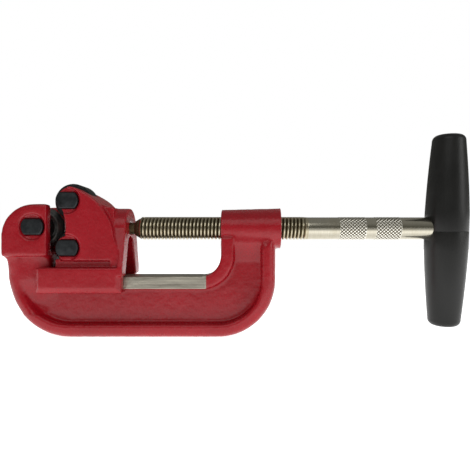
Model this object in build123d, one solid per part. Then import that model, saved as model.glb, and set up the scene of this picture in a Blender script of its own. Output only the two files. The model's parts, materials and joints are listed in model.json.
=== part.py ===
from build123d import *
import os

# Screw-feed pipe cutter: cast C-frame with one cutter wheel, roller slide, feed screw and T-handle.
#
# The origin is the middle of the frame's flat underside. +X runs along the feed screw
# towards the T-handle, +Z is up and the wheel's and rollers' axes lie along Y.

# ---- driving dimensions, millimetres ----

# the line of action
screw_z = 75.0                 # height of the feed screw's axis
wheel_x = -72.3
wheel_z = 75.5
roller_x = -49.0
roller_mid_z = 77.2
roller_rise = 15.8             # each roller's axis above or below roller_mid_z

# cast C-frame
frame_left = -92.3
frame_right = 90.3
left_corner_r = 42.0
right_corner_r = 39.5
column_top = 68.5              # where the rim and the flange run into the boss
rim_width = 9.8
rim_half = 14.0
rim_outer_round = 7.5
rim_inner_round = 2.0
web_half = 5.5
throat_left = -62.7
throat_right = 52.8
throat_corner_r = 13.8
rail_top = 42.2
rail_depth = 8.9
rail_left = -69.0
rail_half = 13.0               # machined part of the rail
cast_flange_half = 13.6        # the same flange where it is left as cast
machined_end = 43.0
neck_half = 13.0
neck_bottom = 22.0
neck_full_z = 39.0
neck_slide_side = 6.0          # how much higher the neck's slope is beside the slide's plates
neck_plate_x = -70.0

# wheel lug on the frame
lug_left = -93.2
lug_bottom = 55.7
lug_top = 90.8
lug_round = 21.9
lug_half = 18.0
lug_gap_half = 10.0
lug_cradle_r = 16.6
lug_back_open_z = 69.0

# boss that carries the feed thread
boss_left = 52.8
boss_right = 93.9
boss_r_left = 13.1
boss_r_right = 14.1
ramp_half = 12.0
ramp_bottom = 52.0
ramp_top = 65.0
thread_clearance = 0.07

# slide
cheek_half = 18.3
cheek_inner = 8.4
cheek_bottom = 52.9
lower_eye_r = 8.1
wheel_relief_r = 22.6
core_half = 13.6
core_left = -36.1
tail_right = -11.2
tail_left = -20.0
tail_wall = 5.2
tail_r = 13.9
tail_foot = 21.5
tail_flare_left = -14.6        # the flared rib behind the cheeks starts here
arch_top = 69.6
hollow_left = -27.0
slide_gap = 0.4                # between the slide and the rail, each way
plate_left = -69.4
plate_right = -12.5
plate_half = 21.8
plate_bottom = 31.2
plate_top = 48.4
plate_chamfer = 3.2
hook_reach = 8.6               # the hooks under the rail start this far from the middle
saddle_half = 15.5
saddle_left = -57.5
floor_top = 47.1

# pins of the wheel and the rollers
pin_r = 4.75
pin_bore_r = 4.78
spin_clearance = 0.07
head_r = 7.35
head_flat = 5.25               # half the distance between the head's two flats
head_depth = 3.4
head_proud = 0.3
seat_r = 8.9
seat_depth = 1.5
seat_gap = 0.25
tail_out = 2.6
groove_r = 3.9
ring_stand_off = 0.5           # from the casting to the ring's groove
groove_width = 1.1
ring_r = 6.6
ring_width = 0.9

# cutter wheel and rollers
wheel_r = 14.4
wheel_hub_r = 8.6
wheel_hub_half = 9.6
wheel_disc_half = 3.1
wheel_bevel_r = 10.8
wheel_edge_half = 0.12
roller_r = 12.4
roller_half = 8.0
roller_chamfer = 0.8

# feed screw
screw_r = 8.0
shank_r = 7.75
thread_start = -7.8
thread_lead_in = 4.9
thread_lead_r = 5.0
thread_end = 113.0
neck_r = 4.0
neck_bore_r = 4.07
neck_tip = -26.4
pad_r = 6.0
pad_thickness = 2.4
chamber_r = 7.6
tip_groove_r = 3.2
tip_washer_thickness = 1.2
tip_ring_thickness = 1.0

# T-handle
handle_x = 211.0
handle_tilt = 3.7              # turn of the handle about the screw at rest, degrees
handle_shift = -2.0            # the handle sits this far along its own axis
bar_r = 5.0
bar_half = 57.0
grip_half = 66.8
grip_full_r = 14.5
grip_straight = 12.0           # the grip's full radius holds this far from the screw's axis
grip_middle_r = 13.1
grip_end_r = 11.0
grip_tip_r = 7.0
grip_seam = 0.08
press_gap = 0.02

across = Plane.XZ              # side views are drawn here and extruded both ways along Y


# ---- helpers ----

def side_block(face, half):
    """A solid of the given side view, as wide as half on each side of the middle plane."""
    return extrude(across * face, amount=half, both=True)


def y_cylinder(x, z, radius, y_low, y_high):
    """A cylinder along Y between two Y values."""
    middle = (y_low + y_high) / 2
    return Pos(x, middle, z) * Rot(X=90) * Cylinder(radius, y_high - y_low)


def x_cylinder(radius, x_low, x_high, z=screw_z):
    """A cylinder along X between two X values, at height z."""
    return Pos((x_low + x_high) / 2, 0, z) * Rot(Y=90) * Cylinder(radius, x_high - x_low)


def block(x_low, x_high, y_low, y_high, z_low, z_high):
    """A box given by its limits."""
    middle = Pos((x_low + x_high) / 2, (y_low + y_high) / 2, (z_low + z_high) / 2)
    return middle * Box(x_high - x_low, y_high - y_low, z_high - z_low)


def outline(points):
    """A closed straight-sided side view."""
    return make_face(Polyline(*points, close=True))


def edges_at(part, half):
    """The edges that lie flat on the two faces at Y = +half and Y = -half."""
    def flat_there(edge):
        box = edge.bounding_box()
        return abs(box.size.Y) < 1e-4 and abs(abs(edge.center().Y) - half) < 1e-3
    return part.edges().filter_by(flat_there)


def both_sides(part):
    """The piece together with its mirror image across the middle plane."""
    return part + mirror(part, about=Plane.XZ)


def x_prism(points, x_low, x_high):
    """A straight-sided outline of (Y, Z) points, extruded along X."""
    end_plane = Plane((x_low, 0, 0), x_dir=(0, 1, 0), z_dir=(1, 0, 0))
    return extrude(end_plane * outline(points), amount=x_high - x_low)


# ---- cast frame ----

def outer_region(inset):
    """Everything inside the casting's outer edge, drawn in by inset."""
    left = frame_left + inset
    right = frame_right - inset
    left_centre = (frame_left + left_corner_r, left_corner_r)
    right_centre = (frame_right - right_corner_r, right_corner_r)
    edges = [
        Line((left, column_top), (left, left_corner_r)),
        CenterArc(left_centre, left_corner_r - inset, 180, 90),
        Line((left_centre[0], inset), (right_centre[0], inset)),
        CenterArc(right_centre, right_corner_r - inset, 270, 90),
        Line((right, right_corner_r), (right, column_top)),
        Line((right, column_top), (left, column_top)),
    ]
    return make_face(edges)


def throat_region(outset):
    """The open throat between the lug and the boss, grown by outset."""
    left = throat_left - outset
    right = throat_right + outset
    bottom = rail_top - outset
    top = lug_top + 10
    corner = throat_corner_r
    edges = [
        Line((left, top), (left, bottom)),
        Line((left, bottom), (throat_right - corner, bottom)),
        CenterArc((throat_right - corner, rail_top + corner), corner + outset, 270, 90),
        Line((right, rail_top + corner), (right, top)),
        Line((right, top), (left, top)),
    ]
    return make_face(edges)


def frame_rim():
    """The rim that runs round the outside of the casting, rounder on its outer edges."""
    whole = side_block(outer_region(0), rim_half)
    inside = side_block(outer_region(rim_width), rim_half)
    rim = fillet(edges_at(whole, rim_half), rim_outer_round) - inside
    inner_edges = edges_at(rim, rim_half).filter_by(lambda e: inside.distance_to(e.center()) < 1e-3)
    return fillet(inner_edges, rim_inner_round)


def frame_rail():
    """The flange along the throat: machined where the slide runs, wider where it is as cast."""
    band = throat_region(rail_depth) & (outer_region(1.0) - throat_region(0))
    machined = side_block(band, rail_half) & block(rail_left, machined_end, -30, 30, 0, rail_top + 1)
    cast = side_block(band, cast_flange_half) & block(machined_end, frame_right, -30, 30, 0, column_top)
    return machined + cast


def frame_neck():
    """The neck below the wheel lug: it slopes down into the web and swells out to the lug's back."""
    neck = None
    spans = [(0.0, frame_left, neck_plate_x), (neck_slide_side, neck_plate_x, throat_left)]
    for lift, low, high in spans:
        half_section = [(0, neck_bottom + lift), (web_half, neck_bottom + lift),
                        (neck_half, neck_full_z + lift), (neck_half, lug_bottom + 5), (0, lug_bottom + 5)]
        prism = both_sides(x_prism(half_section, low, high))
        neck = prism if neck is None else neck + prism
    swell = outline([(lug_left, lug_bottom + 2), (lug_left + 1.8, lug_bottom - 3),
                     (lug_left + 3.4, lug_bottom - 9), (lug_left + 9, lug_bottom - 9),
                     (lug_left + 9, lug_bottom + 2)])
    return (neck & side_block(outer_region(0.6), neck_half)) + side_block(swell, neck_half + 1.5)


def lug_face():
    """Side view of the wheel lug: round at the outer top corner."""
    centre = (lug_left + lug_round, lug_top - lug_round)
    edges = [
        Line((lug_left, lug_bottom), (lug_left, centre[1])),
        CenterArc(centre, lug_round, 90, 90),
        Line((centre[0], lug_top), (throat_left, lug_top)),
        Line((throat_left, lug_top), (throat_left, lug_bottom)),
        Line((throat_left, lug_bottom), (lug_left, lug_bottom)),
    ]
    return make_face(edges)


def wheel_slot():
    """The slot between the two sides of the lug, with a round floor under the wheel."""
    gap = lug_gap_half
    round_floor = y_cylinder(wheel_x, wheel_z, lug_cradle_r, -gap, gap)
    in_front = block(wheel_x, throat_left + 5, -gap, gap, wheel_z - lug_cradle_r, lug_top + 5)
    upper = block(lug_left - 5, wheel_x + 1, -gap, gap, lug_back_open_z, lug_top + 5)
    return round_floor + in_front + upper


def frame_boss():
    """The slightly tapered boss round the feed thread, and the ramps that carry it."""
    length = boss_right - boss_left
    place = Pos((boss_left + boss_right) / 2, 0, screw_z) * Rot(Y=90)
    cone = place * Cone(boss_r_left, boss_r_right, length)
    half_section = [(0, ramp_bottom), (web_half, ramp_bottom), (ramp_half, ramp_top),
                    (ramp_half, screw_z), (0, screw_z)]
    return cone + both_sides(x_prism(half_section, throat_right + 4, frame_right - 4))


def pin_seat(x, z, half):
    """Cut for one pin: a bore through both walls and a keyed seat for the head on the front."""
    bore = y_cylinder(x, z, pin_bore_r, -half - 5, half + 5)
    recess = y_cylinder(x, z, seat_r, -half - 5, -half + seat_depth)
    pocket_floor = -half + head_depth - head_proud
    pocket = y_cylinder(x, z, head_r + seat_gap, -half - 5, pocket_floor)
    between = block(x - 20, x + 20, -half - 5, pocket_floor,
                    z - head_flat - seat_gap, z + head_flat + seat_gap)
    return bore + recess + (pocket & between)


def make_frame():
    web = side_block(outer_region(2.0) - throat_region(0), web_half)
    lug = fillet(edges_at(side_block(lug_face(), lug_half), lug_half), 1.2)
    body = web + frame_rim() + frame_rail() + frame_neck() + lug + frame_boss()
    bore = x_cylinder(screw_r + thread_clearance, boss_left - 5, boss_right + 5)
    body = body - side_block(throat_region(0), 30) - wheel_slot() - bore
    return body - pin_seat(wheel_x, wheel_z, lug_half)


# ---- slide ----

def roller_places():
    """Axis of the upper and of the lower roller, by name."""
    return {"upper": roller_mid_z + roller_rise, "lower": roller_mid_z - roller_rise}


def cheek_face():
    """Side view of the cheeks: sloping back edge, round top, relieved round the wheel."""
    lower_z = roller_places()["lower"]
    back = [(-18.3, screw_z - 5.0), (-21.3, screw_z + 6.0), (-24.6, screw_z + 11.4),
            (-29.9, screw_z + 18.0), (-37.3, screw_z + 23.3), (-41.6, screw_z + 25.6),
            (-46.8, screw_z + 27.2), (-51.3, screw_z + 26.0), (-54.2, screw_z + 23.4)]
    edges = [
        Line((-54.2, cheek_bottom), (-13.4, cheek_bottom)),
        Line((-13.4, cheek_bottom), (-14.0, cheek_bottom + 3.8)),
        Line((-14.0, cheek_bottom + 3.8), back[0]),
        Spline(*back),
        Line(back[-1], (-54.2, cheek_bottom)),
    ]
    relief = Pos(wheel_x, wheel_z) * Circle(wheel_relief_r)
    lower_eye = Pos(roller_x, lower_z) * Circle(lower_eye_r)
    return (make_face(edges) - relief) + lower_eye


def slide_core():
    """The block behind the rollers that takes the screw's thrust, with its sloping top."""
    low = rail_top + slide_gap
    top_line = [
        (core_left, low), (core_left, screw_z + 21.4), (-33.6, screw_z + 19.8),
        (-28.4, screw_z + 16.2), (-23.3, screw_z + 14.2), (tail_left + 1, screw_z + 13.7),
        (tail_left + 1, low),
    ]
    return side_block(outline(top_line), core_half)


def slide_tail():
    """The arched rear end: round over the screw and flared towards the rail."""
    low = rail_top + slide_gap
    legs = [(-tail_r, screw_z), (tail_r, screw_z), (tail_foot, plate_top), (tail_foot, low),
            (-tail_foot, low), (-tail_foot, plate_top)]
    between_cheeks = block(tail_left, tail_right, -cheek_half, cheek_half, low, screw_z)
    arch = x_prism(legs, tail_left, tail_right) & between_cheeks
    return arch + x_prism(legs, tail_flare_left, tail_right) + x_cylinder(tail_r, tail_left, tail_right)


def tail_hollow():
    """The open arch under the screw, and the round chamber for the screw's tip."""
    low = rail_top + slide_gap - 1
    foot = rail_half + slide_gap
    shoulder = (6.2, arch_top - 4.6)
    face = make_face([
        Line((-foot, low), (-shoulder[0], shoulder[1])),
        ThreePointArc((-shoulder[0], shoulder[1]), (0, arch_top), shoulder),
        Line(shoulder, (foot, low)),
        Line((foot, low), (-foot, low)),
    ])
    end_plane = Plane((hollow_left, 0, 0), x_dir=(0, 1, 0), z_dir=(1, 0, 0))
    arch = extrude(end_plane * face, amount=tail_right + 5 - hollow_left)
    chamber = x_cylinder(chamber_r, hollow_left, tail_right - tail_wall)
    neck = x_cylinder(neck_bore_r, hollow_left, tail_right + 5)
    pad_seat = x_cylinder(pad_r, hollow_left - pad_thickness, hollow_left + 1)
    return arch + chamber + neck + pad_seat


def guide_plate():
    """One side plate that runs beside the rail, with the hook that reaches under it."""
    inner = rail_half + slide_gap
    plate = block(plate_left, plate_right, inner, plate_half, plate_bottom, plate_top)
    face_edges = plate.faces().sort_by(Axis.Y)[-1].edges()
    plate = chamfer(face_edges.sort_by(Axis.Z)[:-1], plate_chamfer)
    plate = chamfer(plate.faces().sort_by(Axis.Y)[-1].edges().sort_by(Axis.Z)[-1], 0.8)
    hook_top = rail_top - rail_depth - slide_gap
    hook = block(plate_left, plate_right, hook_reach, inner + 1, plate_bottom, hook_top)
    shelf = block(saddle_left, plate_right, inner, plate_half - 2.5, rail_top + slide_gap, plate_top)
    return plate + hook + shelf


def slide_saddle():
    """The part of the slide between the cheeks and the rail."""
    low = rail_top + slide_gap
    return block(saddle_left, plate_right, -saddle_half, saddle_half, low, cheek_bottom + 1)


def make_slide():
    cheeks = side_block(cheek_face(), cheek_half)
    body = cheeks + slide_core() + slide_tail() + slide_saddle() + both_sides(guide_plate())
    roller_room = block(-75, core_left, -cheek_inner, cheek_inner, floor_top, 110)
    body = body - roller_room - tail_hollow()
    for z in roller_places().values():
        body = body - pin_seat(roller_x, z, cheek_half)
    return body


# ---- pins and their rings ----

def make_pin(x, z, half):
    """A headed pin: the two flats on the head key into the seat, a ring groove is at the far end."""
    inner = -half + head_depth - head_proud
    shaft = y_cylinder(x, z, pin_r, inner - 1, half + tail_out)
    head = y_cylinder(x, z, head_r, -half - head_proud, inner)
    flats = block(x - 20, x + 20, -half - 5, inner, z - head_flat, z + head_flat)
    head = chamfer((head & flats).faces().sort_by(Axis.Y)[0].edges(), 0.6)
    low = half + ring_stand_off
    high = low + groove_width
    groove = y_cylinder(x, z, pin_r + 1, low, high) - y_cylinder(x, z, groove_r, low, high)
    return chamfer((shaft + head - groove).faces().sort_by(Axis.Y)[-1].edges(), 0.5)


def open_ring(inner_r, outer_r, thickness, mouth):
    """A flat retaining ring with an open mouth, lying in the XY plane."""
    flat = Circle(outer_r) - Circle(inner_r) - Pos(0, -outer_r) * Rectangle(mouth, 2 * outer_r)
    return extrude(flat, amount=thickness)


def make_pin_ring(x, z, half):
    """The retaining ring that sits in the pin's groove."""
    low = half + ring_stand_off + (groove_width - ring_width) / 2
    flat = open_ring(groove_r + press_gap, ring_r, ring_width, 5.0)
    return Pos(x, low, z) * Rot(X=-90) * flat


# ---- wheel and rollers ----

def make_wheel():
    """Cutter wheel: a bevelled disc on a wide hub."""
    bore = pin_r + spin_clearance
    half = [
        (bore, wheel_hub_half), (wheel_hub_r - 0.6, wheel_hub_half), (wheel_hub_r, wheel_hub_half - 0.6),
        (wheel_hub_r, wheel_disc_half), (wheel_bevel_r, wheel_disc_half), (wheel_r, wheel_edge_half),
    ]
    other = [(r, -y) for r, y in reversed(half)]
    turned = revolve(Plane.XZ * outline(half + other), Axis.Z)
    return Pos(wheel_x, 0, wheel_z) * Rot(X=90) * turned


def make_roller(z):
    """Plain steel roller on its pin."""
    tube = Cylinder(roller_r, 2 * roller_half) - Cylinder(pin_r + spin_clearance, 2 * roller_half)
    rims = tube.edges().filter_by(GeomType.CIRCLE).sort_by(SortBy.RADIUS)[-2:]
    return Pos(roller_x, 0, z) * Rot(X=90) * chamfer(rims, roller_chamfer)


# ---- feed screw and what holds its tip ----

def make_screw():
    """Feed screw at its thread's outside size, with the plain neck, the shank and the handle's eye."""
    eye_end = handle_x + bar_r + 4.5
    neck = x_cylinder(neck_r, neck_tip, thread_start + 1)
    lead_place = Pos(thread_start + thread_lead_in / 2, 0, screw_z) * Rot(Y=90)
    lead = lead_place * Cone(thread_lead_r, screw_r, thread_lead_in)
    thread = x_cylinder(screw_r, thread_start + thread_lead_in, thread_end)
    shank = x_cylinder(shank_r, thread_end, eye_end)
    low, high = tip_ring_span()
    groove = x_cylinder(neck_r + 1, low, high) - x_cylinder(tip_groove_r, low, high)
    eye = handle_place() * Cylinder(bar_r + press_gap, 4 * shank_r)
    return neck + lead + thread + shank - groove - eye


def tip_ring_span():
    """Where the tip's ring sits along X, behind the tail wall and its washer."""
    high = tail_right - tail_wall - tip_washer_thickness - 0.2
    return high - tip_ring_thickness - 0.1, high


def make_tip_ring():
    low, high = tip_ring_span()
    flat = open_ring(tip_groove_r + press_gap, 6.4, tip_ring_thickness, 4.4)
    return Pos(low + 0.05, 0, screw_z) * Rot(Y=90) * flat


def make_tip_washer():
    wall = tail_right - tail_wall
    low = wall - tip_washer_thickness - 0.1
    return x_cylinder(6.8, low, wall - 0.1) - x_cylinder(neck_r + spin_clearance, low - 1, wall)


def make_thrust_pad():
    """Hardened pad in the slide that the screw's tip pushes on."""
    return x_cylinder(pad_r - press_gap, hollow_left - pad_thickness, hollow_left + 0.3)


# ---- T-handle ----

def handle_place():
    """Placement of the handle's own axis, which runs through the screw's eye."""
    return Pos(handle_x, 0, screw_z) * Rot(X=handle_tilt)


def make_bar():
    rod = Cylinder(bar_r, 2 * bar_half)
    rod = chamfer(rod.edges().filter_by(GeomType.CIRCLE), 1.0)
    return handle_place() * Pos(Z=handle_shift) * rod


def make_grip(side):
    """One half of the moulded grip: fullest at the screw, tapering to a rounded end."""
    foot = grip_half - 4.5
    profile = [
        Line((0, grip_seam), (grip_full_r, grip_seam)),
        Line((grip_full_r, grip_seam), (grip_full_r, grip_straight)),
        ThreePointArc((grip_full_r, grip_straight), (grip_middle_r, 37.5), (grip_end_r, foot)),
        ThreePointArc((grip_end_r, foot), (9.7, foot + 3.3), (grip_tip_r, grip_half)),
        Line((grip_tip_r, grip_half), (0, grip_half)),
        Line((0, grip_half), (0, grip_seam)),
    ]
    body = revolve(Plane.XZ * make_face(profile), Axis.Z)
    if side < 0:
        body = mirror(body, about=Plane.XY)
    bore = Cylinder(bar_r + press_gap, 2 * (bar_half + 0.3))
    socket_end = bar_r + 4.8
    socket = Pos((socket_end - 30) / 2, 0, 0) * Rot(Y=90) * Cylinder(shank_r + press_gap, 30 + socket_end)
    return handle_place() * (Pos(Z=handle_shift) * (body - bore) - socket)


# ---- write one file for each piece ----

def all_pieces():
    roller_z = roller_places()
    pieces = {
        "frame": make_frame(),
        "cutter_wheel": make_wheel(),
        "wheel_pin": make_pin(wheel_x, wheel_z, lug_half),
        "wheel_pin_ring": make_pin_ring(wheel_x, wheel_z, lug_half),
        "slide_housing": make_slide(),
        "feed_screw": make_screw(),
        "thrust_pad": make_thrust_pad(),
        "screw_tip_washer": make_tip_washer(),
        "screw_tip_ring": make_tip_ring(),
        "handle_bar": make_bar(),
        "upper_grip": make_grip(1),
        "lower_grip": make_grip(-1),
    }
    for name, z in roller_z.items():
        pieces[name + "_roller"] = make_roller(z)
        pieces[name + "_roller_pin"] = make_pin(roller_x, z, cheek_half)
        pieces[name + "_pin_ring"] = make_pin_ring(roller_x, z, cheek_half)
    return pieces


os.makedirs("parts", exist_ok=True)
for node, shape in all_pieces().items():
    export_step(shape, "parts/" + node + ".step")
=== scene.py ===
import json
import math

import bmesh
import bpy
import numpy as np
from mathutils import Matrix, Vector, noise


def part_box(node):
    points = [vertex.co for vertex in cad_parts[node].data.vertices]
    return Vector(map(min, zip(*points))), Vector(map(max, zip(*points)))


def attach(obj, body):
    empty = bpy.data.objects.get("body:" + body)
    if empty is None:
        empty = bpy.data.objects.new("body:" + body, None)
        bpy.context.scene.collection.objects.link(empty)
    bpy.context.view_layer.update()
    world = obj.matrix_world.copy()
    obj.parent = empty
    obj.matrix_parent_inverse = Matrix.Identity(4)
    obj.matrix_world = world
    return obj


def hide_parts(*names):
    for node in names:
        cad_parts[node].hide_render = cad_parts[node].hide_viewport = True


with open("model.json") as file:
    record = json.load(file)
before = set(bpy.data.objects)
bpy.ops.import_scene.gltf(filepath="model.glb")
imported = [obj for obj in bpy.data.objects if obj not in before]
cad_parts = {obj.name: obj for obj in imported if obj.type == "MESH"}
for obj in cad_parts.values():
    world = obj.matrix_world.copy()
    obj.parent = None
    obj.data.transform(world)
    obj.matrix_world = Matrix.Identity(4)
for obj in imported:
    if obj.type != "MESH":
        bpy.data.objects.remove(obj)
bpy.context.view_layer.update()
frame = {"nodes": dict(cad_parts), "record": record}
MM = 0.001

# castings
RELAX_STEP = 0.6               # part of the way to its neighbours' mean that a vertex moves in a round
CRISP_ROUNDS = 3               # rounds that all unmachined edges get
BLEND_ROUNDS = 60              # rounds for the neck, whose faces run into each other
RAIL_LOW = (-70.5 * MM, -13.5 * MM, 33.1 * MM)         # box round the rail's bare faces
RAIL_HIGH = (43.0 * MM, 13.5 * MM, 43.7 * MM)

# feed screw
SEGMENTS = 200                 # round the screw
PITCH = 2.5 * MM
CREST_R = 8.0 * MM
ROOT_R = 6.55 * MM
SHANK_R = 7.75 * MM
NECK_R = 4.0 * MM              # plain neck between the tip and the thread
TIP_R = 3.2 * MM               # chamfered tip, and the floor of the ring's groove
RING_PLAY = 0.05 * MM          # between the ring and each side of its groove
# part of a pitch, and the height there: 0 at the root, 1 at the crest
THREAD_SHAPE = ((0.0, 1.0), (0.14, 1.0), (0.44, 0.08), (0.50, 0.0), (0.56, 0.08), (0.86, 1.0))
LEAD_R = 5.0 * MM              # small end of the cone that the thread starts on
LEAD_FOOT_R = 4.4 * MM         # the neck's small chamfer in front of that cone
LEAD_IN = 4.9 * MM
RUN_OUT = 5.0 * MM             # length over which the thread fades into the shank
THREAD_START = 18.6 * MM       # from the screw's tip, like the next two
THREAD_END = 139.4 * MM
KNURL_BANDS = ((161.2 * MM, 179.5 * MM), (186.4 * MM, 203.7 * MM))
KNURLS_AROUND = 20
KNURL_STEP = 0.25 * MM         # from ring to ring, where a groove moves on by one segment
KNURL_PROUD = 0.17 * MM        # the knurls' tops above the plain shank
KNURL_DEPTH = 0.56 * MM


# ---------------------------------------------------------------- shader helpers

class Shader:
    """A small builder for one node material."""

    def __init__(self, name):
        self.material = bpy.data.materials.new(name)
        self.material.use_nodes = True
        self.nodes = self.material.node_tree.nodes
        self.links = self.material.node_tree.links
        self.surface = self.nodes["Principled BSDF"]

    def node(self, kind, **settings):
        made = self.nodes.new(kind)
        for key, value in settings.items():
            setattr(made, key, value)
        return made

    def link(self, start, end):
        self.links.new(start, end)

    def coordinates(self, scale=(1.0, 1.0, 1.0)):
        """Object coordinates in metres, stretched by scale."""
        place = self.node("ShaderNodeTexCoord")
        mapping = self.node("ShaderNodeMapping")
        mapping.inputs["Scale"].default_value = scale
        self.link(place.outputs["Object"], mapping.inputs["Vector"])
        return mapping.outputs["Vector"]

    def noise(self, scale, detail, roughness, vector=None):
        """A noise value. Without a vector it runs over the unscaled object coordinates."""
        made = self.node("ShaderNodeTexNoise")
        made.inputs["Scale"].default_value = scale
        made.inputs["Detail"].default_value = detail
        made.inputs["Roughness"].default_value = roughness
        self.link(vector or self.coordinates(), made.inputs["Vector"])
        return made.outputs["Fac"]

    def ramp(self, value, *stops):
        """A colour ramp: stops are (place, colour) or (place, grey)."""
        made = self.node("ShaderNodeValToRGB")
        ramp = made.color_ramp
        while len(ramp.elements) < len(stops):
            ramp.elements.new(0.5)
        for element, (place, colour) in zip(ramp.elements, stops):
            element.position = place
            if not isinstance(colour, tuple):
                colour = (colour, colour, colour)
            element.color = (*colour, 1.0)
        self.link(value, made.inputs["Fac"])
        return made.outputs["Color"]

    def math(self, operation, first, second=None, third=None):
        made = self.node("ShaderNodeMath", operation=operation)
        for place, value in enumerate((first, second, third)):
            if value is None:
                continue
            if isinstance(value, (int, float)):
                made.inputs[place].default_value = value
            else:
                self.link(value, made.inputs[place])
        return made.outputs[0]

    def mix(self, factor, first, second):
        made = self.node("ShaderNodeMix", data_type="RGBA")
        for socket, value in (("Factor", factor), ("A", first), ("B", second)):
            place = [s for s in made.inputs if s.name == socket and s.enabled][0]
            if isinstance(value, tuple):
                place.default_value = (*value, 1.0)
            elif isinstance(value, (int, float)):
                place.default_value = value
            else:
                self.link(value, place)
        return [s for s in made.outputs if s.enabled][0]

    def bump(self, height, strength, distance, before=None):
        made = self.node("ShaderNodeBump")
        made.inputs["Strength"].default_value = strength
        made.inputs["Distance"].default_value = distance
        self.link(height, made.inputs["Height"])
        if before is not None:
            self.link(before, made.inputs["Normal"])
        return made.outputs["Normal"]

    def set(self, name, value):
        """A value or a link for one socket of the surface shader."""
        socket = self.surface.inputs[name]
        if isinstance(value, tuple) and len(value) == 3:
            socket.default_value = (*value, 1.0)
        elif isinstance(value, (int, float, tuple)):
            socket.default_value = value
        else:
            self.link(value, socket)


# ---------------------------------------------------------------- materials

def paint_material(name, bare_box=None):
    """Semi-gloss red enamel over a rough casting. bare_box is where the paint was machined away."""
    made = Shader(name)
    coarse = made.noise(260.0, 3.0, 0.55)
    colour = red_with_edge_highlight(made)
    rough = made.math("MULTIPLY_ADD", coarse, 0.18, 0.17)
    metallic = 0.0
    if bare_box is not None:
        bare = inside_box(made, *bare_box)
        streak = made.noise(1.0, 4.0, 0.6, made.coordinates((28.0, 900.0, 900.0)))
        steel = made.ramp(streak, (0.30, (0.22, 0.20, 0.165)), (0.70, (0.55, 0.52, 0.43)))
        steel_rough = made.math("MULTIPLY_ADD", streak, 0.20, 0.30)
        painted = made.math("SUBTRACT", 1.0, bare)
        colour = made.mix(bare, colour, steel)
        metallic = made.math("MULTIPLY", bare, 0.9)
        rough = made.math("ADD", made.math("MULTIPLY", bare, steel_rough),
                          made.math("MULTIPLY", painted, rough))
    made.set("Base Color", colour)
    made.set("Metallic", metallic)
    made.set("Roughness", rough)
    made.set("Specular IOR Level", 0.34)
    made.set("Coat Weight", 0.10)
    made.set("Coat Roughness", 0.2)
    made.set("Normal", cast_grain(made, coarse))
    return made.material


def red_with_edge_highlight(made):
    """The enamel's red: blotchy, with a painted highlight that makes it paler on the casting's edges and
    paler still in spots along them.
    """
    red = made.ramp(made.noise(38.0, 4.0, 0.55), (0.30, (0.315, 0.005, 0.011)), (0.70, (0.385, 0.008, 0.017)))
    geometry = made.node("ShaderNodeNewGeometry")
    # Pointiness picks out the convex edges. Both paler tones mixed in along them are painted highlight.
    edge = made.ramp(geometry.outputs["Pointiness"], (0.51, 0.0), (0.60, 1.0))
    spots = made.ramp(made.noise(420.0, 5.0, 0.7), (0.52, 0.0), (0.66, 1.0))
    edge_highlight_spots = made.math("MULTIPLY", edge, spots)
    red = made.mix(made.math("MULTIPLY", edge, 0.25), red, (0.40, 0.06, 0.075))
    return made.mix(made.math("MULTIPLY", edge_highlight_spots, 0.30), red, (0.45, 0.22, 0.21))


def cast_grain(made, coarse):
    """Bumps of the sand-cast skin under the paint, and the paint's own fine orange peel."""
    grain = made.noise(900.0, 2.0, 0.6)
    peel = made.noise(1900.0, 2.0, 0.5)
    height = made.math("ADD", made.math("MULTIPLY", coarse, 0.7), made.math("MULTIPLY", grain, 0.35))
    skin = made.bump(height, 0.60, 0.50 * MM)
    return made.bump(peel, 0.10, 0.10 * MM, skin)


def inside_box(made, low, high):
    """1 where the object coordinate lies between two corners, else 0."""
    place = made.node("ShaderNodeTexCoord")
    split = made.node("ShaderNodeSeparateXYZ")
    made.link(place.outputs["Object"], split.inputs[0])
    result = None
    for axis in range(3):
        value = split.outputs[axis]
        over = made.math("GREATER_THAN", value, low[axis])
        under = made.math("LESS_THAN", value, high[axis])
        both = made.math("MULTIPLY", over, under)
        result = both if result is None else made.math("MULTIPLY", result, both)
    return result


def steel_material(name, dark, light, rough, metallic=1.0, scale=(300.0, 300.0, 300.0),
                   spots=(0.0, 0.0, 0.0)):
    """A worked steel surface: fine marks drawn out by scale, spots of oil or rust tint, uneven gloss."""
    made = Shader(name)
    marks = made.noise(1.0, 4.0, 0.6, made.coordinates(scale))
    patches = made.noise(140.0, 3.0, 0.6)
    colour = made.ramp(marks, (0.3, dark), (0.7, light))
    tint = made.ramp(patches, (0.55, 0.0), (0.75, 0.55))
    made.set("Base Color", made.mix(tint, colour, spots))
    made.set("Metallic", metallic)
    made.set("Roughness", made.math("MULTIPLY_ADD", patches, 0.24, rough))
    made.set("Normal", made.bump(marks, 0.30, 0.06 * MM))
    return made.material


def grip_material(name):
    """Satin black moulded plastic with a fine spark-eroded grain."""
    made = Shader(name)
    grain = made.noise(2600.0, 2.0, 0.5)
    smear = made.noise(55.0, 4.0, 0.6)
    black = made.ramp(smear, (0.3, (0.0075, 0.0075, 0.0070)), (0.75, (0.012, 0.012, 0.011)))
    made.set("Base Color", black)
    made.set("Roughness", made.math("MULTIPLY_ADD", smear, 0.16, 0.28))
    made.set("Specular IOR Level", 0.35)
    made.set("Normal", made.bump(grain, 0.25, 0.08 * MM))
    return made.material


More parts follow.
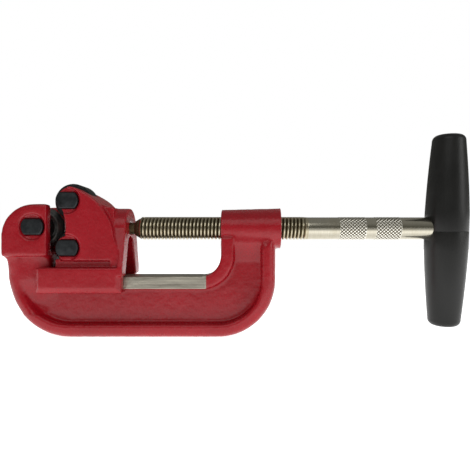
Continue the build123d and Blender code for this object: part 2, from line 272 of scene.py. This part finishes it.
def nickel_material(name, axis_z, thread_end):
    """Warm nickel plate. It is darker in the thread's grooves, partly from oil and partly as painted shade.
    The knurling's grooves get painted shade, and the knurls' tops a painted highlight.
    """
    made = Shader(name)
    depth, on_thread = depth_below_crest(made, axis_z, thread_end)
    on_shank = made.math("SUBTRACT", 1.0, on_thread)
    # The darkening deep in the thread is partly oil and partly painted shade. In the knurling's grooves it is
    # painted shade, and the pale knurl tops are a painted highlight.
    thread_groove_oil_and_shade = made.math("MULTIPLY", made.ramp(depth, (0.10, 0.0), (0.75, 1.0)), on_thread)
    knurl_groove_shade = made.math("MULTIPLY", made.ramp(depth, (0.16, 0.0), (0.25, 1.0)), on_shank)
    knurl_top_highlight = made.math("MULTIPLY", made.ramp(depth, (0.06, 1.0), (0.13, 0.0)), on_shank)
    groove_oil_and_shade = made.math("ADD", thread_groove_oil_and_shade, knurl_groove_shade)
    marks = made.noise(1.0, 3.0, 0.6, made.coordinates((2600.0, 90.0, 90.0)))
    stain = made.noise(75.0, 4.0, 0.6)
    plate = made.ramp(marks, (0.3, (0.48, 0.45, 0.36)), (0.7, (0.56, 0.53, 0.44)))
    plate = made.mix(made.ramp(stain, (0.5, 0.0), (0.8, 0.4)), plate, (0.38, 0.33, 0.21))
    plate = made.mix(made.math("MULTIPLY", on_thread, 0.6), plate, (0.52, 0.45, 0.30))
    plate = made.mix(knurl_top_highlight, plate, (0.95, 0.93, 0.84))
    gloss = made.math("MULTIPLY_ADD", on_thread, 0.10, made.math("MULTIPLY_ADD", stain, 0.14, 0.09))
    # Dark brown deep in the grooves: painted shade, with oil as well in the thread.
    made.set("Base Color", made.mix(groove_oil_and_shade, plate, (0.130, 0.104, 0.058)))
    made.set("Metallic", 1.0)
    made.set("Roughness", made.math("MULTIPLY_ADD", groove_oil_and_shade, 0.28, gloss))
    made.set("Normal", made.bump(marks, 0.25, 0.02 * MM))
    return made.material


def depth_below_crest(made, axis_z, thread_end):
    """How far a point lies below the thread's crest, 1 near the root, and whether it is on the thread."""
    place = made.node("ShaderNodeTexCoord")
    split = made.node("ShaderNodeSeparateXYZ")
    made.link(place.outputs["Object"], split.inputs[0])
    across = split.outputs["Y"]
    above = made.math("SUBTRACT", split.outputs["Z"], axis_z)
    squared = made.math("ADD", made.math("MULTIPLY", across, across), made.math("MULTIPLY", above, above))
    below = made.math("SUBTRACT", CREST_R - 0.05 * MM, made.math("SQRT", squared))
    depth = made.math("DIVIDE", below, 1.35 * MM)
    return depth, made.math("LESS_THAN", split.outputs["X"], thread_end)


# ---------------------------------------------------------------- mesh helpers

def add_mesh(name, mesh, material, body, slot, *nodes):
    """A piece from a mesh: shown in place of CAD nodes, riding on a body."""
    piece = bpy.data.objects.new(name, mesh)
    bpy.context.scene.collection.objects.link(piece)
    mesh.materials.clear()
    mesh.materials.append(material)
    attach(piece, body)
    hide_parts(*nodes)


def bake_modifiers(name, source, *modifiers):
    """A new mesh from a source mesh after modifiers, each (type, {setting: value})."""
    holder = bpy.data.objects.new(name + "_work", source.copy())
    bpy.context.scene.collection.objects.link(holder)
    for kind, settings in modifiers:
        made = holder.modifiers.new(kind, kind)
        for key, value in settings.items():
            setattr(made, key, value)
    bpy.context.view_layer.update()
    ready = holder.evaluated_get(bpy.context.evaluated_depsgraph_get())
    mesh = bpy.data.meshes.new_from_object(ready)
    mesh.name = name
    bpy.data.objects.remove(holder)
    return mesh


def vertex_rows(mesh, attribute):
    """A vector of every vertex, such as its place or its normal, as rows of an array."""
    values = np.empty(len(mesh.vertices) * 3)
    mesh.vertices.foreach_get(attribute, values)
    return values.reshape(-1, 3)


def move_vertices(mesh, place):
    mesh.vertices.foreach_set("co", place.ravel())
    mesh.update()


def relax(mesh, rounds, held):
    """Rounds a remeshed casting's edges: each vertex moves towards its neighbours' mean,
    except where held says that it stays."""
    place = vertex_rows(mesh, "co")
    ends = np.empty(len(mesh.edges) * 2, dtype=np.int64)
    mesh.edges.foreach_get("vertices", ends)
    ends = ends.reshape(-1, 2)
    free = (~held(place)).astype(float)[:, None]
    around = np.zeros(len(place))
    np.add.at(around, ends[:, 0], 1)
    np.add.at(around, ends[:, 1], 1)
    around = np.maximum(around, 1)[:, None]
    for _ in range(rounds):
        total = np.zeros_like(place)
        np.add.at(total, ends[:, 0], place[ends[:, 1]])
        np.add.at(total, ends[:, 1], place[ends[:, 0]])
        place += free * RELAX_STEP * (total / around - place)
    move_vertices(mesh, place)


def roughen(mesh, held, depth, seed):
    """Gives a casting its uneven skin: dents of two sizes, nearly all of them into the metal."""
    place = vertex_rows(mesh, "co")
    normals = vertex_rows(mesh, "normal")
    fixed = held(place)
    shift = Vector((seed, seed, seed))
    for index, point in enumerate(place):
        if fixed[index]:
            continue
        wave = noise.noise(Vector(point) * 240.0 + shift) + 0.6 * noise.noise(Vector(point) * 610.0 + shift)
        place[index] = point + normals[index] * depth * (wave - 0.9)
    move_vertices(mesh, place)


def cast_mesh(name, node, voxel, rounds, held, crisp, rough, seed, blended=None):
    """A casting's visible mesh: the CAD shape with softened edges and an uneven skin.
    held is where it's machined; crisp is where its edges are only just broken; blended, if given,
    says which points stay while the rest is smoothed until its faces run into each other."""
    mesh = bake_modifiers(name, frame["nodes"][node].data,
                          ("REMESH", {"mode": "VOXEL", "voxel_size": voxel}))
    relax(mesh, CRISP_ROUNDS, held)
    relax(mesh, rounds - CRISP_ROUNDS, lambda place: held(place) | crisp(place))
    if blended:
        relax(mesh, BLEND_ROUNDS, blended)
    roughen(mesh, held, rough, seed)
    mesh.shade_smooth()
    return mesh


def lathe(rows):
    """A turned solid about the X axis, closed at both ends. A row is one (x, radius) for the whole
    ring, or a list with one for each segment."""
    made = bmesh.new()
    rings = []
    for row in rows:
        ring = []
        for index in range(SEGMENTS):
            x, radius = row[index] if isinstance(row, list) else row
            angle = 2 * math.pi * index / SEGMENTS
            ring.append(made.verts.new((x, radius * math.sin(angle), radius * math.cos(angle))))
        rings.append(ring)
    for first, second in zip(rings, rings[1:]):
        for index in range(SEGMENTS):
            after = (index + 1) % SEGMENTS
            made.faces.new((first[index], first[after], second[after], second[index]))
    made.faces.new(list(reversed(rings[0])))
    made.faces.new(rings[-1])
    bmesh.ops.remove_doubles(made, verts=made.verts, dist=1e-7)
    bmesh.ops.dissolve_degenerate(made, edges=made.edges, dist=1e-8)
    bmesh.ops.recalc_face_normals(made, faces=made.faces)
    return made


def to_mesh(name, made, place, smooth_angle):
    """The bmesh as a mesh, moved into place, smooth except at edges sharper than the angle in degrees."""
    bmesh.ops.transform(made, matrix=place, verts=made.verts)
    limit = math.radians(smooth_angle)
    for face in made.faces:
        face.smooth = True
    for edge in made.edges:
        if len(edge.link_faces) == 2:
            edge.smooth = edge.calc_face_angle(0.0) < limit
    mesh = bpy.data.meshes.new(name)
    made.to_mesh(mesh)
    made.free()
    return mesh


# ---------------------------------------------------------------- feed screw

def thread_rows(start, end):
    """Rings of a helical thread between two X values, cut back by the lead-in cone and the run-out."""
    rows = []
    turns = int((end - start) / PITCH) + 2
    for turn in range(-1, turns):
        for part, height in THREAD_SHAPE:
            full = ROOT_R + (CREST_R - ROOT_R) * height
            row = []
            for index in range(SEGMENTS):
                x = start + PITCH * (turn + part + index / SEGMENTS)
                x = min(max(x, start), end)
                cone = LEAD_R + (CREST_R - LEAD_R) * min(1.0, (x - start) / LEAD_IN)
                fade = max(0.0, (x - (end - RUN_OUT)) / RUN_OUT)
                radius = full + (SHANK_R - full) * fade ** 1.5
                row.append((x, min(radius, cone)))
            rows.append(row)
    return rows


def knurl_rows(start, end):
    """Rings of a band of diamond knurling on the shank: two crossing sets of grooves."""
    steps = round((end - start) / KNURL_STEP)
    per_groove = SEGMENTS // KNURLS_AROUND
    rows = [(start, SHANK_R)]
    for count in range(steps + 1):
        level = min(1.0, min(count, steps - count) / 2.0)
        row = []
        for index in range(SEGMENTS):
            first = abs(((index + count) / per_groove % 1.0) - 0.5) * 2
            second = abs(((index - count) / per_groove % 1.0) - 0.5) * 2
            height = min(1.0, 2.3 * min(first, second))
            radius = SHANK_R + KNURL_PROUD - KNURL_DEPTH * level * (1.0 - height)
            row.append((start + KNURL_STEP * count, radius))
        rows.append(row)
    return rows + [(start + KNURL_STEP * steps, SHANK_R)]


def make_screw():
    low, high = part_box("feed_screw")
    tip = low.x
    axis_z = (low.z + high.z) / 2
    ring_low, ring_high = (corner.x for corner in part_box("screw_tip_ring"))
    groove_low, groove_high = ring_low - RING_PLAY, ring_high + RING_PLAY
    thread_start, thread_end = tip + THREAD_START, tip + THREAD_END
    rows = [(tip, TIP_R), (tip + 0.8 * MM, NECK_R), (groove_low, NECK_R), (groove_low, TIP_R),
            (groove_high, TIP_R), (groove_high, NECK_R),
            (thread_start - 0.3 * MM, NECK_R), (thread_start, LEAD_FOOT_R)]
    rows += thread_rows(thread_start, thread_end)
    rows.append((thread_end + 0.4 * MM, SHANK_R))
    for start, end in KNURL_BANDS:
        rows += knurl_rows(tip + start, tip + end)
    rows.append((high.x, SHANK_R))
    mesh = to_mesh("feed_screw_thread", lathe(rows), Matrix.Translation((0.0, 0.0, axis_z)), 50.0)
    material = nickel_material("nickel_plate", axis_z, thread_end)
    add_mesh("feed_screw_thread", mesh, material, "screw", "nickel_steel", "feed_screw")


# ---------------------------------------------------------------- castings

def within(place, x=(-1.0, 1.0), side=(-1.0, 1.0), z=(-1.0, 1.0)):
    """True for points between the given limits. side is the distance from the middle plane."""
    found = (place[:, 0] > x[0]) & (place[:, 0] < x[1])
    found &= (abs(place[:, 1]) > side[0]) & (abs(place[:, 1]) < side[1])
    return found & (place[:, 2] > z[0]) & (place[:, 2] < z[1])


def machined_on_frame(place):
    """True for points on the rail where the slide runs, and on the boss's end faces."""
    rail_sides = within(place, x=(-62.0 * MM, 42.8 * MM), side=(12.2 * MM, 1.0), z=(33.0 * MM, 43.0 * MM))
    rail_top = within(place, x=(-60.0 * MM, 38.5 * MM), z=(41.6 * MM, 43.0 * MM))
    boss_end = within(place, x=(93.2 * MM, 1.0), z=(60.0 * MM, 1.0))
    boss_front = within(place, x=(52.0 * MM, 53.4 * MM), z=(69.0 * MM, 1.0))
    return rail_sides | rail_top | boss_end | boss_front


def off_the_neck(place):
    """False only on the neck below the wheel lug, whose faces run into each other."""
    neck = within(place, x=(-1.0, -60.0 * MM), z=(16.0 * MM, 54.8 * MM))
    return ~neck | machined_on_frame(place)


def nothing_machined(place):
    return np.zeros(len(place), dtype=bool)


def seat_test(*pins):
    """A test for points in the spot-faced seats round the pins' heads, on the front."""
    centres = [(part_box(pin)[0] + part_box(pin)[1]) / 2 for pin in pins]

    def near_a_seat(place):
        found = nothing_machined(place)
        for centre in centres:
            reach = np.hypot(place[:, 0] - centre.x, place[:, 2] - centre.z)
            found |= (reach < 9.6 * MM) & (place[:, 1] < -14.0 * MM)
        return found
    return near_a_seat


def make_castings():
    frame_paint = paint_material("red_enamel_frame", (RAIL_LOW, RAIL_HIGH))
    slide_paint = paint_material("red_enamel_slide")
    skin = cast_mesh("frame_casting", "frame", 0.65 * MM, 12, machined_on_frame,
                     seat_test("wheel_pin"), 0.08 * MM, 3.1, off_the_neck)
    add_mesh("frame_casting", skin, frame_paint, "frame", "red_casting", "frame")
    skin = cast_mesh("slide_casting", "slide_housing", 0.5 * MM, 5, nothing_machined,
                     seat_test("upper_roller_pin", "lower_roller_pin"), 0.05 * MM, 7.7)
    add_mesh("slide_casting", skin, slide_paint, "slide", "red_casting", "slide_housing")


# ---------------------------------------------------------------- other steel parts and grips

def softened(node, name, material, slot, body, width, segments=2):
    """A turned or cut piece with its sharp edges broken."""
    mesh = bake_modifiers(name, frame["nodes"][node].data,
                          ("WELD", {"merge_threshold": 1e-6}),
                          ("BEVEL", {"width": width, "segments": segments, "limit_method": "ANGLE",
                                     "angle_limit": math.radians(30.0)}))
    mesh.shade_smooth()
    add_mesh(name, mesh, material, body, slot, node)


def make_small_parts():
    black = steel_material("black_oxide", (0.020, 0.022, 0.024), (0.050, 0.054, 0.058), 0.34, 0.85,
                           spots=(0.035, 0.050, 0.050))
    tool = steel_material("roller_steel", (0.016, 0.017, 0.018), (0.045, 0.046, 0.048), 0.30, 0.9,
                          scale=(900.0, 60.0, 900.0), spots=(0.06, 0.05, 0.035))
    # The cutter wheel's grey is partly painted light. It is lighter than the rollers' steel as a painted
    # highlight on its bevelled rim, and kept dark as painted shade for the slot between the lug and the
    # slide.
    wheel = steel_material("wheel_steel", (0.06, 0.06, 0.06), (0.17, 0.17, 0.16), 0.26, 0.95,
                           scale=(250.0, 900.0, 250.0), spots=(0.10, 0.085, 0.06))
    spring = steel_material("spring_steel", (0.10, 0.10, 0.10), (0.22, 0.22, 0.22), 0.34,
                            spots=(0.12, 0.10, 0.07))
    bare = steel_material("bare_steel", (0.36, 0.35, 0.33), (0.58, 0.57, 0.55), 0.30,
                          spots=(0.30, 0.27, 0.22))
    looks = {"black_steel": (black, 0.35 * MM), "tool_steel": (tool, 0.25 * MM),
             "spring_steel": (spring, 0.10 * MM), "bare_steel": (bare, 0.20 * MM)}
    bodies = frame["record"]["behaviour"]["bodies"]
    home = {node: body for body, members in bodies.items() for node in members}
    for entry in frame["record"]["subparts"]:
        node, slot = entry["node"], entry["material_slot"]
        if slot not in looks:
            continue
        material, width = looks[slot]
        if node == "cutter_wheel":
            material = wheel
        softened(node, node + "_worked", material, slot, home[node], width)


def make_grips():
    plastic = grip_material("grip_plastic")
    for node in ("upper_grip", "lower_grip"):
        softened(node, node + "_moulded", plastic, "black_grip", "screw", 0.45 * MM, 3)


# ---------------------------------------------------------------- stage, light, camera

def make_stage():
    """A wide pale floor. Its own glow is strongest just in front of the object and fades further off."""
    shader = Shader("pale_floor")
    shader.set("Base Color", (0.55, 0.55, 0.55))
    shader.set("Roughness", 0.9)
    shader.set("Emission Color", (1.0, 1.0, 1.0))
    place = shader.node("ShaderNodeTexCoord")
    split = shader.node("ShaderNodeSeparateXYZ")
    shader.link(place.outputs["Object"], split.inputs[0])
    along = shader.math("ADD", split.outputs["Y"], 0.75)
    glow = shader.ramp(along, (0.10, 0.04), (0.38, 0.10), (0.55, 0.28),
                       (0.66, 0.66), (0.73, 0.40), (0.82, 0.50))
    shader.set("Emission Strength", shader.math("MULTIPLY", glow, 2.4))
    made = bmesh.new()
    bmesh.ops.create_grid(made, x_segments=2, y_segments=2, size=6.0)
    mesh = bpy.data.meshes.new("floor")
    made.to_mesh(mesh)
    made.free()
    mesh.materials.append(shader.material)
    floor = bpy.data.objects.new("floor", mesh)
    bpy.context.scene.collection.objects.link(floor)


def area_light(name, place, target, size, power):
    data = bpy.data.lights.new(name, "AREA")
    data.shape = "RECTANGLE"
    data.size, data.size_y = size
    data.energy = power
    light = bpy.data.objects.new(name, data)
    light.location = place
    light.rotation_euler = (Vector(target) - Vector(place)).to_track_quat("-Z", "Y").to_euler()
    bpy.context.scene.collection.objects.link(light)
    return light


def make_world():
    """White to the camera; for lighting and reflections, dark at the horizon and paler overhead."""
    world = bpy.data.worlds.new("studio")
    bpy.context.scene.world = world
    world.use_nodes = True
    nodes, links = world.node_tree.nodes, world.node_tree.links
    background = nodes["Background"]
    place = nodes.new("ShaderNodeTexCoord")
    split = nodes.new("ShaderNodeSeparateXYZ")
    links.new(place.outputs["Generated"], split.inputs[0])
    lift = nodes.new("ShaderNodeMath")
    lift.operation = "MULTIPLY_ADD"
    lift.inputs[1].default_value = 0.5
    lift.inputs[2].default_value = 0.5
    links.new(split.outputs["Z"], lift.inputs[0])
    ramp = nodes.new("ShaderNodeValToRGB")
    links.new(lift.outputs[0], ramp.inputs["Fac"])
    stops = ramp.color_ramp.elements
    stops[0].position, stops[0].color = 0.50, (1.0, 1.0, 1.0, 1.0)
    stops[1].position, stops[1].color = 0.53, (0.08, 0.08, 0.065, 1.0)
    stops.new(0.90).color = (0.26, 0.26, 0.25, 1.0)
    links.new(ramp.outputs["Color"], background.inputs["Color"])
    white = nodes.new("ShaderNodeBackground")
    white.inputs["Color"].default_value = (1.0, 1.0, 1.0, 1.0)
    path = nodes.new("ShaderNodeLightPath")
    mixer = nodes.new("ShaderNodeMixShader")
    links.new(path.outputs["Is Camera Ray"], mixer.inputs[0])
    links.new(background.outputs[0], mixer.inputs[1])
    links.new(white.outputs[0], mixer.inputs[2])
    links.new(mixer.outputs[0], nodes["World Output"].inputs["Surface"])


def make_light():
    bpy.context.scene.view_settings.view_transform = "Standard"
    make_world()
    area_light("key", (-0.12, -0.75, 0.65), (0.02, 0.0, 0.06), (0.7, 0.5), 1.35)
    back = area_light("back_top", (0.10, 0.55, 0.75), (0.05, 0.0, 0.07), (0.9, 0.4), 2.2)
    back.visible_glossy = False
    area_light("side", (1.0, -0.45, 0.35), (0.05, 0.0, 0.07), (0.5, 0.5), 1.6)


def make_camera():
    """A level camera, 0.3 m in front of the middle plane and looking along +Y."""
    data = bpy.data.cameras.new("camera")
    camera = bpy.data.objects.new("camera", data)
    camera.location = (0.0740, -0.300, 0.0633)
    camera.rotation_euler = (math.radians(90.0), 0.0, 0.0)
    data.sensor_width = 36.0
    data.lens = 32.59
    data.shift_x = -0.0362
    data.shift_y = 0.0213
    bpy.context.scene.collection.objects.link(camera)
    bpy.context.scene.camera = camera


make_castings()
make_screw()
make_small_parts()
make_grips()
make_stage()
make_light()
make_camera()
